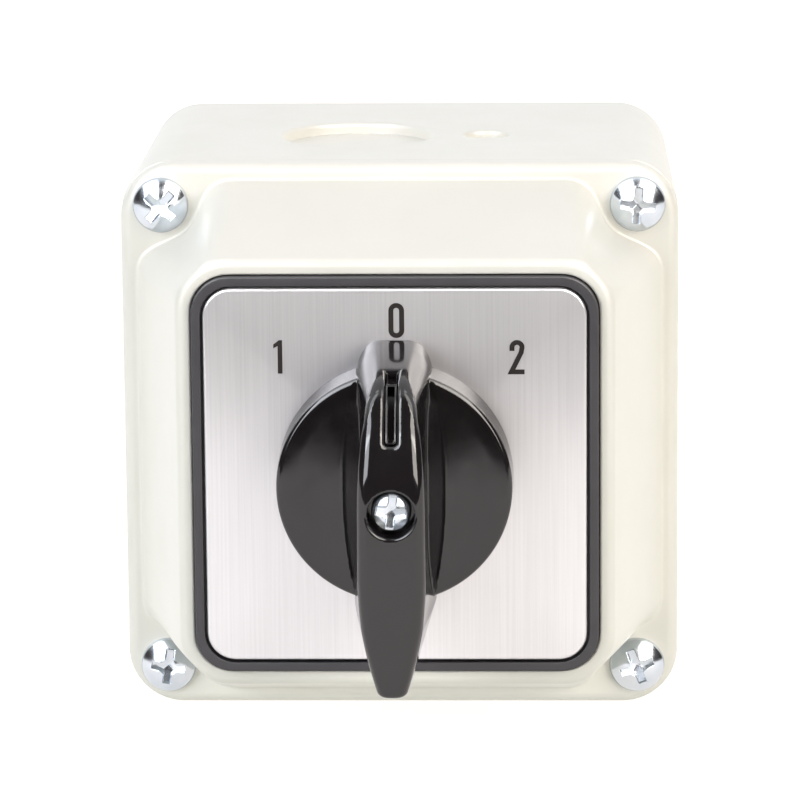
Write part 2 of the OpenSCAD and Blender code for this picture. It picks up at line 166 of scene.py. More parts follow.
def cover_field(x, y, z):
    level = -y
    up = np.clip((level - FLANGE_LEVEL) / DOME_H, 0, 1)
    flange = round_max(rounded_square(x, z, FLANGE_HALF, CORNER_R), level - FLANGE_LEVEL, 1.8)
    half = DOME_FOOT_HALF + (DOME_RIM_HALF - DOME_FOOT_HALF) * up
    to_screw = np.hypot(np.abs(x) - SCREW_AT, np.abs(z) - SCREW_AT)
    notch = NOTCH_FOOT_R + (NOTCH_RIM_R - NOTCH_FOOT_R) * up - to_screw
    blend = 6.5 - 5.3 * up
    dome = round_max(rounded_square(x, z, half, DOME_CORNER_R + 0.6 * up) * SLOPE_SCALE, notch, blend)
    dome = round_max(dome, level - DOME_LEVEL, 1.1)
    outside = round_min(flange, dome, 0.4)
    cavity = round_max(rounded_square(x, z, half - WALL, 5.0), level - PANEL_BACK, 1)
    cavity = round_max(cavity, notch + WALL, 3)
    pocket = rounded_square(x, z, FRAME_HALF + POCKET_GAP, FRAME_R + POCKET_GAP)
    pocket = np.maximum(pocket, POCKET_LEVEL - level)
    shell = np.maximum(outside, -cavity)
    shell = round_max(shell, -pocket, 0.35)
    shell = np.maximum(shell, CENTRE_HOLE_R - np.hypot(x, z))
    shell = np.maximum(shell, COVER_HOLE_R - to_screw)
    return round_max(shell, JOINT_LEVEL - level, 0.3)


def base_field(x, y, z):
    level = -y
    half = BACK_HALF + (FLANGE_HALF - BACK_HALF) * level / JOINT_LEVEL
    outside = round_max(rounded_square(x, z, half, CORNER_R - 0.5), -level, 2.4)
    outside = round_max(outside, level - JOINT_LEVEL, 0.3)
    for knock_x, r, depth in KNOCKOUTS:
        recess = np.hypot(x - knock_x, level - KNOCKOUT_LEVEL) - r
        recess = np.maximum(recess, half - depth - np.abs(z))
        outside = round_max(outside, -recess, 0.7)
    cavity = round_max(rounded_square(x, z, half - WALL, 6.0), WALL - level, 1.5)
    shell = np.maximum(outside, -cavity)
    to_screw = np.hypot(np.abs(x) - SCREW_AT, np.abs(z) - SCREW_AT)
    post = np.maximum(to_screw - POST_R, level - JOINT_LEVEL)
    shell = np.minimum(shell, np.maximum(post, outside))
    pilot_hole = np.maximum(to_screw - PILOT_HOLE_R, JOINT_LEVEL - PILOT_HOLE_DEPTH - level)
    shell = np.maximum(shell, -pilot_hole)
    to_hole = np.hypot(np.abs(x) - WALL_HOLE_AT, np.abs(z) - WALL_HOLE_AT)
    return round_max(shell, WALL_HOLE_R - to_hole, 0.3)


def lever_field(x, h, z):
    """The lever: a broad foot, a nose at the top that leans back, a narrower crest and a blunt tail."""
    over = np.maximum(z - RIDGE_Z, 0)
    front_h = CREST_H - RIDGE_R + np.sqrt(np.maximum(RIDGE_R ** 2 - over ** 2, 9))
    rise = np.clip((h - 5) / (front_h - 5), 0, 1)
    spread = np.clip(z, -FOOT_SPREAD_END, FOOT_SPREAD_TOP) / FOOT_SPREAD_END
    foot_half = FOOT_HALF + FOOT_SPREAD * spread ** 4 - 0.31 * np.maximum(-TAIL_TAPER_FROM - z, 0)
    crest_half = CREST_HALF - 0.0056 * np.clip(z, 0, CREST_TAPER_END) ** 2
    crest_half = crest_half - 0.008 * np.maximum(-9 - z, 0) ** 2
    half = foot_half + (crest_half - foot_half) * rise ** 1.3
    off_middle = np.maximum(np.abs(x) / half - NOSE_FLAT, 0) / (1 - NOSE_FLAT)
    lean = np.clip(h - NOSE_H, 0, 18)
    undercut = 0.45 * np.maximum(NOSE_H - h, 0)
    nose = z - NOSE_Z + NOSE_DRAFT * lean + NOSE_CURVE * lean ** 2 + undercut + NOSE_DROP * off_middle ** 3.2
    nose = nose / np.hypot(1, NOSE_DROP_SLOPE * off_middle ** 2.2 / half)
    outline = round_max(np.abs(x) - half, nose, 0.8)
    front = np.hypot(over, np.maximum(h - CREST_H + RIDGE_R, 0)) - RIDGE_R
    under = -0.852 * (z + 18) - 0.523 * (h - HANDLE_GAP)  # the tail's underside rises outwards
    lever = round_max(outline, front, 1.7 - 0.05 * np.maximum(z - 8, 0))
    lever = round_max(lever, TAIL_Z - z, 0.8)
    return round_max(lever, under, 0.6)


def handle_field(x, y, z):
    """The disc with a crease at each side, the lever over it, the screw's well and the insert's slot."""
    h = -y - FRAME_FRONT
    r = np.hypot(x, z)
    side = r - (DISC_R + 0.15 - 0.018 * h)
    crease = np.abs(x) - CREASE_X + 1.7 * (z / 17) ** 2
    bead = 0.1 * np.exp(-(crease / 0.3) ** 2) * np.clip(16.5 - r, 0, 1)
    face = FACE_H + 0.00125 * (18 - r) ** 2 - 0.016 * np.maximum(r - 15.3, 0) ** 2
    face = face + np.where(crease < 0, 0.12 * crease, 0) + bead
    disc = round_max(side, h - face, 0.7)
    body = round_min(disc, lever_field(x, h, z), 0.25)
    body = round_max(body, HANDLE_GAP - h, 0.25)
    hub = np.maximum(r - HUB_R, np.maximum(-HUB_DEPTH - h, h - 1))
    body = np.minimum(body, hub)
    well = np.maximum(r - WELL_R, SCREW_SEAT_H - h)
    body = round_max(body, -well, 0.35)
    slot = round_max(np.abs(x) - SLOT_HALF, SLOT_END_Z - z, 0.6)
    ridge = np.hypot(z - RIDGE_Z, h - CREST_H + RIDGE_R)
    slot = np.maximum(slot, np.maximum(RIDGE_R - SLOT_DEPTH - ridge, SLOT_FLOOR_H - h))
    body = round_max(body, -slot, 0.65)
    socket = np.maximum(np.maximum(np.abs(x), np.abs(z)) - SOCKET_HALF, h - SOCKET_TOP_H)
    bore = np.maximum(r - BORE_R, h - SCREW_SEAT_H - 1)
    return np.maximum(body, -np.minimum(socket, bore))


def insert_field(x, y, z):
    """The pointer insert: a bar in the slot with a groove along its front."""
    h = -y - FRAME_FRONT
    ridge = np.hypot(z - RIDGE_Z, h - CREST_H + RIDGE_R)
    bar = round_max(np.abs(x) - INSERT_HALF, INSERT_END_Z - z, 0.5)
    bar = round_max(bar, np.maximum(ridge - RIDGE_R + 0.55, z - 18.7), 0.12)
    bar = np.maximum(bar, np.maximum(RIDGE_R - 4.8 - ridge, 13.5 - h))
    groove = round_max(np.abs(x) - GROOVE_HALF, 10.9 - z, 0.3)
    groove = np.maximum(groove, np.maximum(RIDGE_R - 2 - ridge, z - 18.35))
    return round_max(bar, -groove, 0.08)


def screw_field(head_r, head_h, crown_r, shank_r, length, arm):
    """A pan head screw along -Y with a slot across the head and a cross recess; its seat is at y = 0."""
    slot_half = 0.68
    slot_floor = 0.68  # this and the recess's floor are shares of the head's height
    recess_floor = 0.12
    recess_slope = 0.2

    def field(x, y, z):
        h = -y
        r = np.hypot(x, z)
        crown = np.hypot(r, h - head_h + crown_r) - crown_r
        head = round_max(round_max(r - head_r, crown, 0.3), -h, 0.15)
        depth = head_h - h
        slot = np.maximum(np.abs(x) - slot_half, head_h * slot_floor - h)
        head = round_max(head, -slot, 0.1)
        taper = 0.1 * np.clip(depth, 0, 3)
        wide = slot_half - 0.04 - 0.3 * taper
        long = arm - taper
        one = np.maximum(np.abs(x) - wide, np.abs(z) - long)
        other = np.maximum(np.abs(z) - wide, np.abs(x) - long)
        cross = round_min(one, other, head_r * 0.2)
        pit = head_h * recess_floor + recess_slope * (np.abs(x + z) + np.abs(x - z)) * 0.7071 - h
        head = round_max(head, -np.maximum(cross, pit), 0.1)
        shank = np.maximum(r - shank_r, np.maximum(-length - h, h - 0.2))
        return np.minimum(head, round_max(shank, -(length + h), 0.5))

    return field


# ---- from fields to meshes ----

def lines_through(*stops):
    """Grid lines from place to place: place, step, place, step, ... place."""
    lines = [np.array([float(stops[0])])]
    for start, step, end in zip(stops[0::2], stops[1::2], stops[2::2]):
        count = max(1, math.ceil((end - start) / step))
        lines.append(np.linspace(start, end, count + 1)[1:])
    return np.concatenate(lines)


def mirrored_lines(*stops):
    """Grid lines from 0 outwards, on both sides."""
    half = lines_through(0, *stops)
    return np.concatenate([-half[:0:-1], half])


def slope_of(field, points, eps=0.004):
    """The field's gradient at points."""
    slope = np.empty_like(points)
    for axis in range(3):
        step = np.zeros(3)
        step[axis] = eps
        ahead = field(*(points + step).T)
        behind = field(*(points - step).T)
        slope[:, axis] = (ahead - behind) / (2 * eps)
    return slope


def polygonise(field, lines):
    """Points and outward quads of a field's zero surface: one point for each grid cell that it crosses."""
    values = field(lines[0][:, None, None], lines[1][None, :, None], lines[2][None, None, :])
    cell_shape = tuple(n - 1 for n in values.shape)
    quads, crossings = [], []
    for axis in range(3):
        here = tuple(slice(0, -1) if k == axis else slice(None) for k in range(3))
        ahead = tuple(slice(1, None) if k == axis else slice(None) for k in range(3))
        a, b = values[here], values[ahead]
        index = np.argwhere((a < 0) != (b < 0))
        va, vb = a[tuple(index.T)], b[tuple(index.T)]
        point = np.stack([lines[k][index[:, k]] for k in range(3)], axis=1)
        point[:, axis] += va / (va - vb) * (lines[axis][index[:, axis] + 1] - point[:, axis])
        first, second = [k for k in range(3) if k != axis]
        ring = []
        for du, dv in ((-1, -1), (0, -1), (0, 0), (-1, 0)):
            cell = index.copy()
            cell[:, first] += du
            cell[:, second] += dv
            ring.append(np.ravel_multi_index(cell.T, cell_shape))
        ring = np.stack(ring, axis=1)
        outward = (va < 0) != (axis == 1)
        quads.append(np.where(outward[:, None], ring, ring[:, ::-1]))
        crossings.append((ring.ravel(), np.repeat(point, 4, axis=0)))
    cells = np.concatenate([c for c, _ in crossings])
    places = np.concatenate([p for _, p in crossings])
    used, number = np.unique(cells, return_inverse=True)
    count = np.bincount(number)
    points = np.stack([np.bincount(number, places[:, k]) / count for k in range(3)], axis=1)
    quads = np.searchsorted(used, np.concatenate(quads))
    return points, quads


def settle(field, points, reach, rounds=4):
    """Moves points onto the field's zero surface, each round by at most reach."""
    for _ in range(rounds):
        slope = slope_of(field, points)
        step = slope * (field(*points.T) / np.maximum((slope ** 2).sum(1), 0.05))[:, None]
        length = np.linalg.norm(step, axis=1)
        points = points - step * np.minimum(1, reach / np.maximum(length, 1e-9))[:, None]
    return points


def add_mesh(name, points, faces, normals=None):
    """A mesh object from points in millimetres, with its own normals if given."""
    mesh = bpy.data.meshes.new(name)
    mesh.from_pydata((np.asarray(points) * MM).tolist(), [], np.asarray(faces).tolist())
    mesh.shade_smooth()
    if normals is not None:
        mesh.normals_split_custom_set_from_vertices(normals.tolist())
    piece = bpy.data.objects.new(name, mesh)
    bpy.context.scene.collection.objects.link(piece)
    return piece


def sculpt(name, field, lines, reach=0.1):
    """A piece from a field, with normals from the field itself."""
    points, quads = polygonise(field, lines)
    points = settle(field, points, reach)
    slope = slope_of(field, points, 0.02)
    normals = slope / np.maximum(np.linalg.norm(slope, axis=1), 1e-9)[:, None]
    return add_mesh(name, points, quads, normals)


def finish_piece(piece, material, slot, body, *nodes):
    """Gives a piece its material and body, and hides the CAD nodes that it stands for."""
    piece.data.materials.clear()
    piece.data.materials.append(material)
    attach(piece, body)
    if nodes:
        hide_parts(*nodes)


# ---- lofted rings and digits ----

def square_loop(half, r, arc_steps=10, side_steps=6):
    """Points round a rounded square, anticlockwise seen from the front."""
    points = []
    for quarter in range(4):
        turn = math.radians(90 * quarter)
        for i in range(arc_steps + 1):
            a = turn + math.radians(90) * i / arc_steps
            cx = (half - r) * (math.cos(turn) - math.sin(turn))
            cz = (half - r) * (math.sin(turn) + math.cos(turn))
            points.append((cx + r * math.cos(a), cz + r * math.sin(a)))
        last = np.array(points[-1])
        following = turn + math.radians(90)
        cx = (half - r) * (math.cos(following) - math.sin(following))
        cz = (half - r) * (math.sin(following) + math.cos(following))
        goal = np.array((cx + r * math.cos(following), cz + r * math.sin(following)))
        for i in range(1, side_steps):
            points.append(tuple(last + (goal - last) * i / side_steps))
    return np.array(points)


def loft(name, loops):
    """A closed ring: loops of points (x, z) with their levels, each joined to the next, last to first."""
    count = len(loops[0][0])
    points = [(x, -level, z) for loop, level in loops for x, z in loop]
    faces = []
    for i in range(len(loops)):
        j = (i + 1) % len(loops)
        for k in range(count):
            m = (k + 1) % count
            faces.append((i * count + k, i * count + m, j * count + m, j * count + k))
    return add_mesh(name, points, faces)


def shade_by_angle(piece, degrees=35):
    """Smooth shading with sharp edges where faces meet at more than an angle."""
    mesh = piece.data
    normals = [Vector(p.normal) for p in mesh.polygons]
    faces_at = {}
    for p in mesh.polygons:
        for key in p.edge_keys:
            faces_at.setdefault(key, []).append(p.index)
    limit = math.radians(degrees)
    for edge in mesh.edges:
        pair = faces_at.get(tuple(sorted(edge.vertices)), [])
        if len(pair) == 2 and normals[pair[0]].angle(normals[pair[1]], 0) > limit:
            edge.use_edge_sharp = True


def circle_like(loop, r):
    """A circle whose points lie in the same directions as a loop's."""
    return loop / np.linalg.norm(loop, axis=1)[:, None] * r


def edge_arc(half, corner_r, level, r, steps=6, inner=False):
    """Loops round a front edge of radius r: outwards to the side, or inwards to a hole's side."""
    loops = []
    for i in range(steps + 1):
        a = math.radians(90) * i / steps
        inset = r - r * math.sin(a) if not inner else r * math.sin(a) - r
        drop = r - r * math.cos(a)
        loops.append((square_loop(half - inset, corner_r - inset), level - drop))
    return loops


def make_bezel():
    gap = 0.42
    opening = PLATE_HALF + gap
    floor = PLATE_BACK - 0.05
    hole = circle_like(square_loop(FRAME_HALF, FRAME_R), CENTRE_HOLE_R)
    loops = [(hole, POCKET_LEVEL), (hole, floor)]
    loops.append((square_loop(opening, PLATE_R + gap), floor))
    loops += edge_arc(opening, PLATE_R + gap, FRAME_FRONT, 0.12, inner=True)[::-1]
    loops += edge_arc(FRAME_HALF, FRAME_R, FRAME_FRONT, 0.28)
    loops.append((square_loop(FRAME_HALF, FRAME_R), POCKET_LEVEL))
    bezel = loft("escutcheon_bezel", loops)
    shade_by_angle(bezel, 30)
    return bezel


def make_plate():
    outline = square_loop(PLATE_HALF, PLATE_R)
    hole = circle_like(outline, PLATE_HOLE_R)
    chamfer = 0.1
    loops = [(hole, PLATE_BACK), (hole, PLATE_FRONT - chamfer)]
    loops.append((circle_like(outline, PLATE_HOLE_R + chamfer), PLATE_FRONT))
    loops += edge_arc(PLATE_HALF, PLATE_R, PLATE_FRONT, 0.42)
    loops.append((outline, PLATE_BACK))
    plate = loft("brushed_face_plate", loops)
    shade_by_angle(plate, 30)
    return plate


def stroke(points, width):
    """The outline of a pen stroke with mitred corners through points."""
    points = [Vector(p) for p in points]
    left, right = [], []
    for i, p in enumerate(points):
        before = (p - points[i - 1]).normalized() if i else (points[1] - p).normalized()
        after = (points[i + 1] - p).normalized() if i < len(points) - 1 else before
        side = Vector((-(before + after).y, (before + after).x)).normalized()
        reach = width / 2 / max(0.4, side.dot(Vector((-after.y, after.x))))
        left.append(p + side * reach)
        right.append(p - side * reach)
    return left + right[::-1]


def arc(cx, cz, r, start, end, steps=14):
    return [(cx + r * math.cos(math.radians(start + (end - start) * i / steps)),
             cz + r * math.sin(math.radians(start + (end - start) * i / steps))) for i in range(steps + 1)]


def stadium(half_w, half_h):
    return arc(0, half_h - half_w, half_w, 0, 180) + arc(0, half_w - half_h, half_w, 180, 360)


DIGIT_STROKE = 0.77
DIGITS = {
    "one": ((-18.05, 19.2), [[(0.42, -2.68), (0.42, 2.68), (-0.1, 2.68), (-0.98, 1.99), (-0.98, 1.37),
                              (-0.3, 1.75), (-0.3, -2.68)]]),
    "zero": ((0.3, 25.0), [stadium(1.23, 2.8), stadium(0.45, 2.02)]),
    "two": ((19.1, 19.1), [stroke([(-0.72, 1.0)] + arc(0.07, 1.57, 0.79, 180, -20)
                                  + [(0.72, 0.75), (-0.82, -2.37), (1.24, -2.37)], DIGIT_STROKE)]),
}


def make_digit(name, centre, outlines):
    """A printed digit on the face plate, a hair thicker than nothing."""
    curve = bpy.data.curves.new(name, "CURVE")
    curve.dimensions = "2D"
    curve.fill_mode = "BOTH"
    curve.extrude = 0.02 * MM
    for outline in outlines:
        spline = curve.splines.new("POLY")
        spline.points.add(len(outline) - 1)
        for point, (x, z) in zip(spline.points, outline):
            point.co = (x * MM, z * MM, 0, 1)
        spline.use_cyclic_u = True
    drawn = bpy.data.objects.new(name, curve)
    mesh = bpy.data.meshes.new_from_object(drawn)
    bpy.data.objects.remove(drawn)
    place = Vector((centre[0], -PLATE_FRONT - 0.02, centre[1])) * MM
    mesh.transform(Matrix.Translation(place) @ Matrix.Rotation(math.radians(90), 4, "X"))
    piece = bpy.data.objects.new("digit_" + name, mesh)
    bpy.context.scene.collection.objects.link(piece)
    return piece


# ---- materials ----

def new_material(name, **sockets):
    """A Principled material; each keyword sets the socket of that name."""
    material = bpy.data.materials.new(name)
    material.use_nodes = True
    shader = material.node_tree.nodes["Principled BSDF"]
    for socket, value in sockets.items():
        title = socket.replace("_", " ").title().replace("Ior", "IOR")
        if isinstance(value, tuple):
            value = (*value, 1.0)
        shader.inputs[title].default_value = value
    return material


def add_node(material, kind, **settings):
    node = material.node_tree.nodes.new(kind)
    for key, value in settings.items():
        if key in node.inputs:
            node.inputs[key].default_value = value
        else:
            setattr(node, key, value)
    return node


def noise(material, per_mm, stretch=(1, 1, 1), detail=3.0):
    """Noise in the object's own space, per_mm being its waves per millimetre; stretch scales each axis."""
    links = material.node_tree.links
    place = add_node(material, "ShaderNodeTexCoord")
    scale = add_node(material, "ShaderNodeMapping")
    scale.inputs["Scale"].default_value = [s * per_mm / MM for s in stretch]
    texture = add_node(material, "ShaderNodeTexNoise", Detail=detail, Scale=1.0)
    links.new(place.outputs["Object"], scale.inputs["Vector"])
    links.new(scale.outputs["Vector"], texture.inputs["Vector"])
    return texture.outputs["Fac"]


def vary(material, socket, source, low, high, start=0.3, end=0.7):
    """Drives a socket of the shader from a value between two numbers or colours."""
    links = material.node_tree.links
    shader = material.node_tree.nodes["Principled BSDF"]
    if isinstance(low, tuple):
        ramp = add_node(material, "ShaderNodeValToRGB")
        ramp.color_ramp.elements[0].position = start
        ramp.color_ramp.elements[0].color = (*low, 1)
        ramp.color_ramp.elements[1].position = end
        ramp.color_ramp.elements[1].color = (*high, 1)
        links.new(source, ramp.inputs["Fac"])
        links.new(ramp.outputs["Color"], shader.inputs[socket])
    else:
        mapped = add_node(material, "ShaderNodeMapRange")
        for key, value in (("From Min", start), ("From Max", end), ("To Min", low), ("To Max", high)):
            mapped.inputs[key].default_value = value
        links.new(source, mapped.inputs["Value"])
        links.new(mapped.outputs["Result"], shader.inputs[socket])


def bump(material, source, height_mm, strength=1.0, after=None):
    """Adds a bump of a height in millimetres; after is a bump that this one goes on top of."""
    links = material.node_tree.links
    node = add_node(material, "ShaderNodeBump", Strength=strength, Distance=height_mm * MM)
    links.new(source, node.inputs["Height"])
    if after is not None:
        links.new(after.outputs["Normal"], node.inputs["Normal"])
    links.new(node.outputs["Normal"], material.node_tree.nodes["Principled BSDF"].inputs["Normal"])
    return node


def moulded(name, low, high, roughness, grain_mm=0.004, **sockets):
    """Moulded plastic: a faint cloud in its colour and a fine grain."""
    material = new_material(name, **sockets)
    vary(material, "Base Color", noise(material, 0.05), low, high)
    vary(material, "Roughness", noise(material, 0.25), roughness - 0.03, roughness + 0.03)
    bump(material, noise(material, 2.2, detail=2.0), grain_mm)
    return material


def metal(name, low, high, roughness, streak=(1, 1, 1), grain_mm=0.003):
    """Metal with a faint cloud in its colour and a grain that streak may stretch."""
    material = new_material(name, metallic=1.0)
    vary(material, "Base Color", noise(material, 0.3), low, high)
    vary(material, "Roughness", noise(material, 0.8, streak), roughness - 0.05, roughness + 0.05)
    bump(material, noise(material, 3.0, streak, detail=4.0), grain_mm)
    return material


def brushed_metal():
    """Plate brushed up and down: fine lines that run along Z, and gloss spread across them."""
    material = new_material("brushed_plate", metallic=0.42, anisotropic=0.8)
    fine = noise(material, 3.0, (1, 1, 0.012), detail=2.0)
    lines = noise(material, 2.6, (1, 1, 0.012), detail=2.0)
    vary(material, "Base Color", lines, (0.71, 0.69, 0.705), (0.78, 0.76, 0.775))
    vary(material, "Roughness", fine, 0.23, 0.27)
    bump(material, fine, 0.002, 0.6)
    across = add_node(material, "ShaderNodeTangent", direction_type="RADIAL", axis="Z")
    shader = material.node_tree.nodes["Principled BSDF"]
    material.node_tree.links.new(across.outputs["Tangent"], shader.inputs["Tangent"])
    return material


MATERIALS = {
    "enclosure_plastic": moulded("enclosure_plastic", (0.775, 0.76, 0.695), (0.805, 0.785, 0.725),
                                 0.38, 0.003),
    "gloss_black": moulded("gloss_black", (0.010, 0.0085, 0.0095), (0.013, 0.011, 0.012), 0.1, 0.0002),
    "satin_black": moulded("satin_black", (0.024, 0.022, 0.026), (0.030, 0.027, 0.032), 0.42, 0.003),
    "brushed_plate": brushed_metal(),
    "zinc_plate": metal("zinc_plate", (0.49, 0.54, 0.59), (0.57, 0.60, 0.64), 0.18, grain_mm=0.001),
    "steel": metal("steel", (0.48, 0.49, 0.51), (0.58, 0.59, 0.61), 0.32, (1, 0.05, 1)),
    "brass": metal("brass", (0.72, 0.52, 0.22), (0.80, 0.60, 0.28), 0.28),
    "silver": metal("silver", (0.80, 0.79, 0.76), (0.88, 0.87, 0.84), 0.2),
    "rubber": moulded("rubber", (0.018, 0.018, 0.018), (0.03, 0.03, 0.03), 0.7, 0.006),
    "nylon": moulded("nylon", (0.66, 0.62, 0.48), (0.72, 0.68, 0.54), 0.45),
    "red_plastic": moulded("red_plastic", (0.42, 0.03, 0.02), (0.5, 0.045, 0.03), 0.35),
}
INK = moulded("printed_ink", (0.012, 0.009, 0.008), (0.022, 0.017, 0.015), 0.5, 0.002,
              specular_ior_level=0.15)

SLOT_OF_ENDING = {
    "gasket": "rubber", "seal": "rubber", "screws": "zinc_plate", "bolts": "zinc_plate", "nuts": "zinc_plate",
    "shaft": "steel", "stop_plate": "steel", "mounting_plate": "satin_black", "end_cover": "satin_black",
    "wheel": "red_plastic", "cam": "red_plastic", "terminals": "brass", "detent_housing": "nylon",
    "deck_2_housing": "nylon", "housing": "satin_black",
}
SLOT_OF_WORD = {"slider": "nylon", "plunger": "nylon", "spring": "steel", "bridge": "silver"}


def dress_cad_nodes():
    """Every CAD node takes the material that its name calls for; some are replaced later."""
    for name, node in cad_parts.items():
        found = [slot for word, slot in SLOT_OF_WORD.items() if word in name]
        found += [slot for ending, slot in SLOT_OF_ENDING.items() if name.endswith(ending)]
        slot = found[0] if found else "satin_black"
        node.data.materials.clear()
        node.data.materials.append(MATERIALS[slot])


# ---- pieces ----

def make_enclosure():
    cover_lines = (
        mirrored_lines(1.0, 10, 1.8, 28, 0.34, 45.4),
        lines_through(-DOME_LEVEL - 0.5, 0.3, -86, 0.6, -67, 0.3, -JOINT_LEVEL + 0.5),
        mirrored_lines(1.0, 10, 1.8, 28, 0.34, 45.4),
    )
    cover = sculpt("cover_shell", cover_field, cover_lines)
    finish_piece(cover, MATERIALS["enclosure_plastic"], "enclosure_plastic", "root", "enclosure_cover")
    base_lines = (
        mirrored_lines(0.6, 21, 2, 27, 0.75, 33, 1.2, 40, 0.5, 45.6),
        lines_through(-JOINT_LEVEL - 0.4, 0.25, -60, 2, -50, 0.6, -22, 3, -4, 0.4, 0.6),
        mirrored_lines(3, 27, 0.75, 33, 1.2, 40, 0.4, 45.6),
    )
    base = sculpt("base_shell", base_field, base_lines)
    finish_piece(base, MATERIALS["enclosure_plastic"], "enclosure_plastic", "root", "enclosure_base")


def make_escutcheon():
    finish_piece(make_bezel(), MATERIALS["satin_black"], "satin_black", "root", "escutcheon_frame")
    finish_piece(make_plate(), MATERIALS["brushed_plate"], "brushed_plate", "root", "face_plate")
    for name, (centre, outlines) in DIGITS.items():
        finish_piece(make_digit(name, centre, outlines), INK, "satin_black", "root")


def make_handle():
    step = 0.27
    lines = (
        mirrored_lines(step, DISC_R + 0.6),
        lines_through(-FRAME_FRONT - CREST_H - 0.5, step, -FRAME_FRONT + 1.8),
        lines_through(-29.4, step, 22.9),
    )
    knob = sculpt("lever_knob", handle_field, lines)
    finish_piece(knob, MATERIALS["gloss_black"], "gloss_black", "rotor", "handle")
    lines = (
        mirrored_lines(0.06, 1.1),
        lines_through(-FRAME_FRONT - CREST_H, 0.12, -FRAME_FRONT - 13),
        lines_through(10.2, 0.1, 19.1),
    )
    insert = sculpt("pointer_bar", insert_field, lines, 0.04)
    finish_piece(insert, MATERIALS["gloss_black"], "gloss_black", "rotor", "pointer_insert")


def screw_mesh(head_r, head_h, crown_r, shank_r, length, arm):
    """Points, faces and normals of a screw, its seat at the origin and its head towards -Y."""
    field = screw_field(head_r, head_h, crown_r, shank_r, length, arm)
    across = mirrored_lines(0.11, head_r + 0.3)
    along = lines_through(-head_h - 0.3, 0.11, 0.4, 1.5, length - 0.8, 0.2, length + 0.4)
    points, quads = polygonise(field, (across, along, across))
    points = settle(field, points, 0.05)
    slope = slope_of(field, points, 0.01)
    return points, quads, slope / np.maximum(np.linalg.norm(slope, axis=1), 1e-9)[:, None]


def turned(vectors, degrees):
    """Vectors turned about +Y, so that +Z goes towards +X."""
    a = math.radians(degrees)
    x, y, z = vectors.T
    return np.stack([x * math.cos(a) + z * math.sin(a), y, z * math.cos(a) - x * math.sin(a)], axis=1)


COVER_SCREW_CROWN_R = 5.8
COVER_SCREW_SHANK_R = 1.95
COVER_SCREW_ARM = 2.85
HANDLE_SCREW_HEAD_R = 3.1
HANDLE_SCREW_CROWN_R = 6.5
HANDLE_SCREW_SHANK_R = 1.75
HANDLE_SCREW_ARM = 2.4
HANDLE_SCREW_TURN = 7
COVER_SCREW_TURNS = {(-1, 1): 41, (1, 1): 6, (-1, -1): 8, (1, -1): -21}


def make_screws():
    head_h = -FLANGE_LEVEL - screws_low[1]
    length = screws_high[1] + FLANGE_LEVEL
    points, quads, normals = screw_mesh(SCREW_HEAD_R, head_h, COVER_SCREW_CROWN_R,
                                        COVER_SCREW_SHANK_R, length, COVER_SCREW_ARM)
    all_points, all_quads, all_normals = [], [], []
    for (side_x, side_z), degrees in COVER_SCREW_TURNS.items():
        seat = np.array((side_x * SCREW_AT, -FLANGE_LEVEL, side_z * SCREW_AT))
        all_quads.append(quads + len(points) * len(all_points))
        all_points.append(turned(points, degrees) + seat)
        all_normals.append(turned(normals, degrees))
    screws = add_mesh("cover_fixing_screws", np.concatenate(all_points), np.concatenate(all_quads),
                      np.concatenate(all_normals))
    finish_piece(screws, MATERIALS["zinc_plate"], "zinc_plate", "root", "cover_screws")
    seat_y = -FRAME_FRONT - SCREW_SEAT_H
    head_h = seat_y - handle_screw_low[1]
    length = handle_screw_high[1] - seat_y
    points, quads, normals = screw_mesh(HANDLE_SCREW_HEAD_R, head_h, HANDLE_SCREW_CROWN_R,
                                        HANDLE_SCREW_SHANK_R, length, HANDLE_SCREW_ARM)
    points = turned(points, HANDLE_SCREW_TURN) + (0, seat_y, 0)
    screw = add_mesh("handle_fixing_screw", points, quads, turned(normals, HANDLE_SCREW_TURN))
    finish_piece(screw, MATERIALS["zinc_plate"], "zinc_plate", "rotor", "handle_screw")


# ---- camera, floor and light ----

CAMERA_TARGET = Vector((0.56, -85, 10.65)) * MM
CAMERA_DISTANCE = 849.3 * MM
CAMERA_ELEVATION = math.radians(12.94)
CAMERA_YAW = math.radians(1.80)
CAMERA_ROLL = math.radians(-0.49)
CAMERA_LENS = 241.44


def make_camera():
    data = bpy.data.cameras.new("camera")
    data.lens = CAMERA_LENS
    data.sensor_width = 36
    data.clip_start = 0.01
    forward = Vector((-math.sin(CAMERA_YAW) * math.cos(CAMERA_ELEVATION),
                      math.cos(CAMERA_YAW) * math.cos(CAMERA_ELEVATION), -math.sin(CAMERA_ELEVATION)))
    level_right = Vector((math.cos(CAMERA_YAW), math.sin(CAMERA_YAW), 0))
    level_up = level_right.cross(forward)
    right = level_right * math.cos(CAMERA_ROLL) + level_up * math.sin(CAMERA_ROLL)
    up = level_up * math.cos(CAMERA_ROLL) - level_right * math.sin(CAMERA_ROLL)
    camera = bpy.data.objects.new("camera", data)
    turn = Matrix((right, up, -forward)).transposed().to_4x4()
    camera.matrix_world = Matrix.Translation(CAMERA_TARGET - forward * CAMERA_DISTANCE) @ turn
    bpy.context.scene.collection.objects.link(camera)
    bpy.context.scene.camera = camera


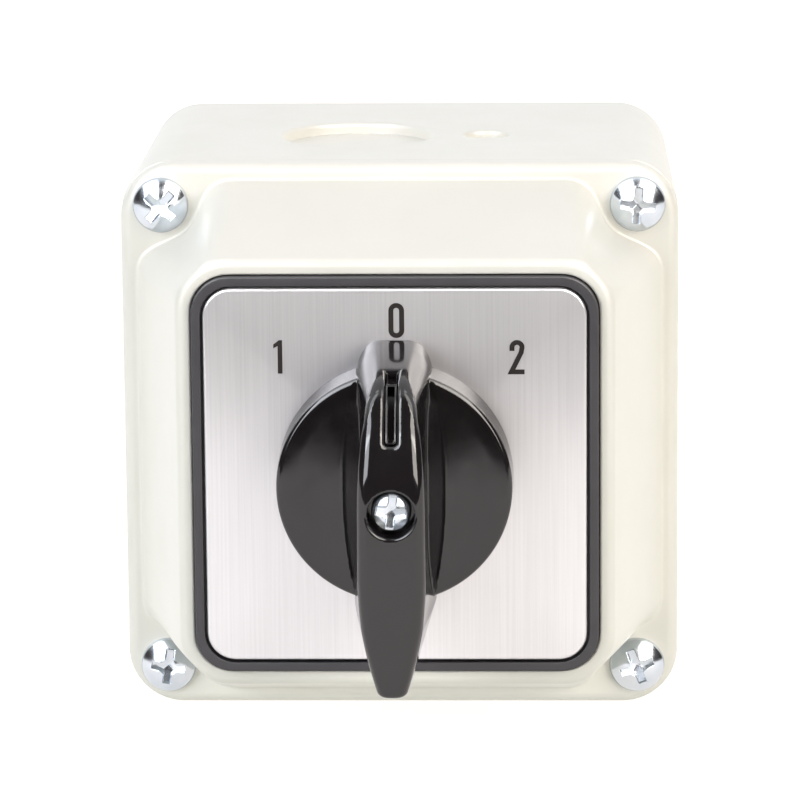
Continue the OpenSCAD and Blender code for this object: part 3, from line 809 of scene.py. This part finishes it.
FLOOR_FRONT = -0.32
LIGHT_AIM = Vector((0, -0.1, 0))
LIGHT_DISTANCE = 1.1
BRIGHT_TILT = math.radians(40)
DARK_UP_TO = 0.3  # both are cosines of the angle from the brightest direction
BRIGHT_FROM = 0.65
FLOOR_GLOW = 0.67
COOL = (0.92, 0.95, 1.0)
WARM = (1.0, 0.955, 0.89)
DARK = (0.06, 0.05, 0.05)
BRIGHT = (1.15, 1.17, 1.2)
PALE_FLOOR = (0.62, 0.64, 0.60)
FILL_ASIDE = 48
FILL_HEIGHT = 30
FILL_SIZE = (0.6, 0.95)
FILL_POWER = 9.5
SHINE_ASIDE = 31
SHINE_SIZE = (0.78, 0.66)
SHINES = ((27, 15), (57, 15), (87, 6))  # height in degrees, power


def make_floor():
    """A sheet of white paper, lit through from below, that ends in front of the object."""
    material = new_material("floor_paper", roughness=0.8, emission_color=(1.0, 0.92, 0.89),
                            emission_strength=FLOOR_GLOW)
    vary(material, "Base Color", noise(material, 0.02), (0.70, 0.69, 0.68), (0.72, 0.71, 0.70))
    z = min(base_low[2], cover_low[2])
    points = [(-900, FLOOR_FRONT / MM, z), (900, FLOOR_FRONT / MM, z), (900, 1200, z), (-900, 1200, z)]
    floor = add_mesh("floor", points, [(0, 1, 2, 3)])
    floor.data.materials.append(material)
    floor.visible_diffuse = False


def add_softbox(name, aside, height, size, power, colour):
    """A panel that faces LIGHT_AIM: aside and height are degrees from straight in front."""
    a = math.radians(aside)
    t = math.radians(height)
    away = Vector((math.sin(a), -math.cos(a) * math.cos(t), math.cos(a) * math.sin(t)))
    across = Vector((math.cos(a), math.sin(a) * math.cos(t), -math.sin(a) * math.sin(t)))
    data = bpy.data.lights.new(name, "AREA")
    data.shape = "RECTANGLE"
    data.size, data.size_y = size
    data.energy = power
    data.color = colour
    lamp = bpy.data.objects.new(name, data)
    turn = Matrix((across, away.cross(across), away)).transposed().to_4x4()
    lamp.matrix_world = Matrix.Translation(LIGHT_AIM + away * LIGHT_DISTANCE) @ turn
    bpy.context.scene.collection.objects.link(lamp)
    return lamp


def mix_colours(tree, factor, first, second):
    """A mix of two colours, each a fixed one or another node's output."""
    mix = tree.nodes.new("ShaderNodeMix")
    mix.data_type = "RGBA"
    tree.links.new(factor, mix.inputs["Factor"])
    for socket, colour in (("A", first), ("B", second)):
        if isinstance(colour, tuple):
            mix.inputs[socket].default_value = (*colour, 1)
        else:
            tree.links.new(colour, mix.inputs[socket])
    return mix.outputs["Result"]


def nearness_to_bright(tree, direction):
    """From 0 in front of the object to 1 behind and over it."""
    behind = tree.nodes.new("ShaderNodeVectorMath")
    behind.operation = "DOT_PRODUCT"
    behind.inputs[1].default_value = (0, math.cos(BRIGHT_TILT), math.sin(BRIGHT_TILT))
    tree.links.new(direction, behind.inputs[0])
    ramp = tree.nodes.new("ShaderNodeMapRange")
    ramp.interpolation_type = "SMOOTHSTEP"
    ramp.inputs["From Min"].default_value = DARK_UP_TO
    ramp.inputs["From Max"].default_value = BRIGHT_FROM
    tree.links.new(behind.outputs["Value"], ramp.inputs["Value"])
    return ramp.outputs["Result"]


def diffuse_and_down(tree, direction, light_path):
    """1 for a diffuse ray that goes down, or else 0."""
    parts = tree.nodes.new("ShaderNodeSeparateXYZ")
    tree.links.new(direction, parts.inputs["Vector"])
    below = tree.nodes.new("ShaderNodeMath")
    below.operation = "LESS_THAN"
    below.inputs[1].default_value = 0
    tree.links.new(parts.outputs["Z"], below.inputs[0])
    both = tree.nodes.new("ShaderNodeMath")
    both.operation = "MULTIPLY"
    tree.links.new(below.outputs["Value"], both.inputs[0])
    tree.links.new(light_path.outputs["Is Diffuse Ray"], both.inputs[1])
    return both.outputs["Value"]


def make_world():
    """White to the camera. To everything else: bright behind and over the object, and dark in front.

    Diffuse rays that go down see a pale floor's colour, because the floor itself is hidden from them.
    """
    world = bpy.data.worlds.new("studio")
    bpy.context.scene.world = world
    world.use_nodes = True
    tree = world.node_tree
    tree.nodes.clear()
    direction = tree.nodes.new("ShaderNodeTexCoord").outputs["Generated"]
    light_path = tree.nodes.new("ShaderNodeLightPath")
    around = mix_colours(tree, nearness_to_bright(tree, direction), DARK, BRIGHT)
    lit = mix_colours(tree, diffuse_and_down(tree, direction, light_path), around, PALE_FLOOR)
    shown = mix_colours(tree, light_path.outputs["Is Camera Ray"], lit, (1, 1, 1))
    background = tree.nodes.new("ShaderNodeBackground")
    output = tree.nodes.new("ShaderNodeOutputWorld")
    tree.links.new(shown, background.inputs["Color"])
    tree.links.new(background.outputs["Background"], output.inputs["Surface"])


def make_studio():
    """Each side has a panel that only lights and three that only show as reflections."""
    make_world()
    make_floor()
    for side, colour in ((-1, COOL), (1, WARM)):
        fill = add_softbox("fill", side * FILL_ASIDE, FILL_HEIGHT, FILL_SIZE, FILL_POWER, colour)
        fill.visible_glossy = False
        for height, power in SHINES:
            shine = add_softbox("shine", side * SHINE_ASIDE, height, SHINE_SIZE, power, colour)
            shine.visible_diffuse = False
    bpy.context.scene.view_settings.view_transform = "Standard"


make_camera()
dress_cad_nodes()
make_enclosure()
make_escutcheon()
make_handle()
make_screws()
make_studio()
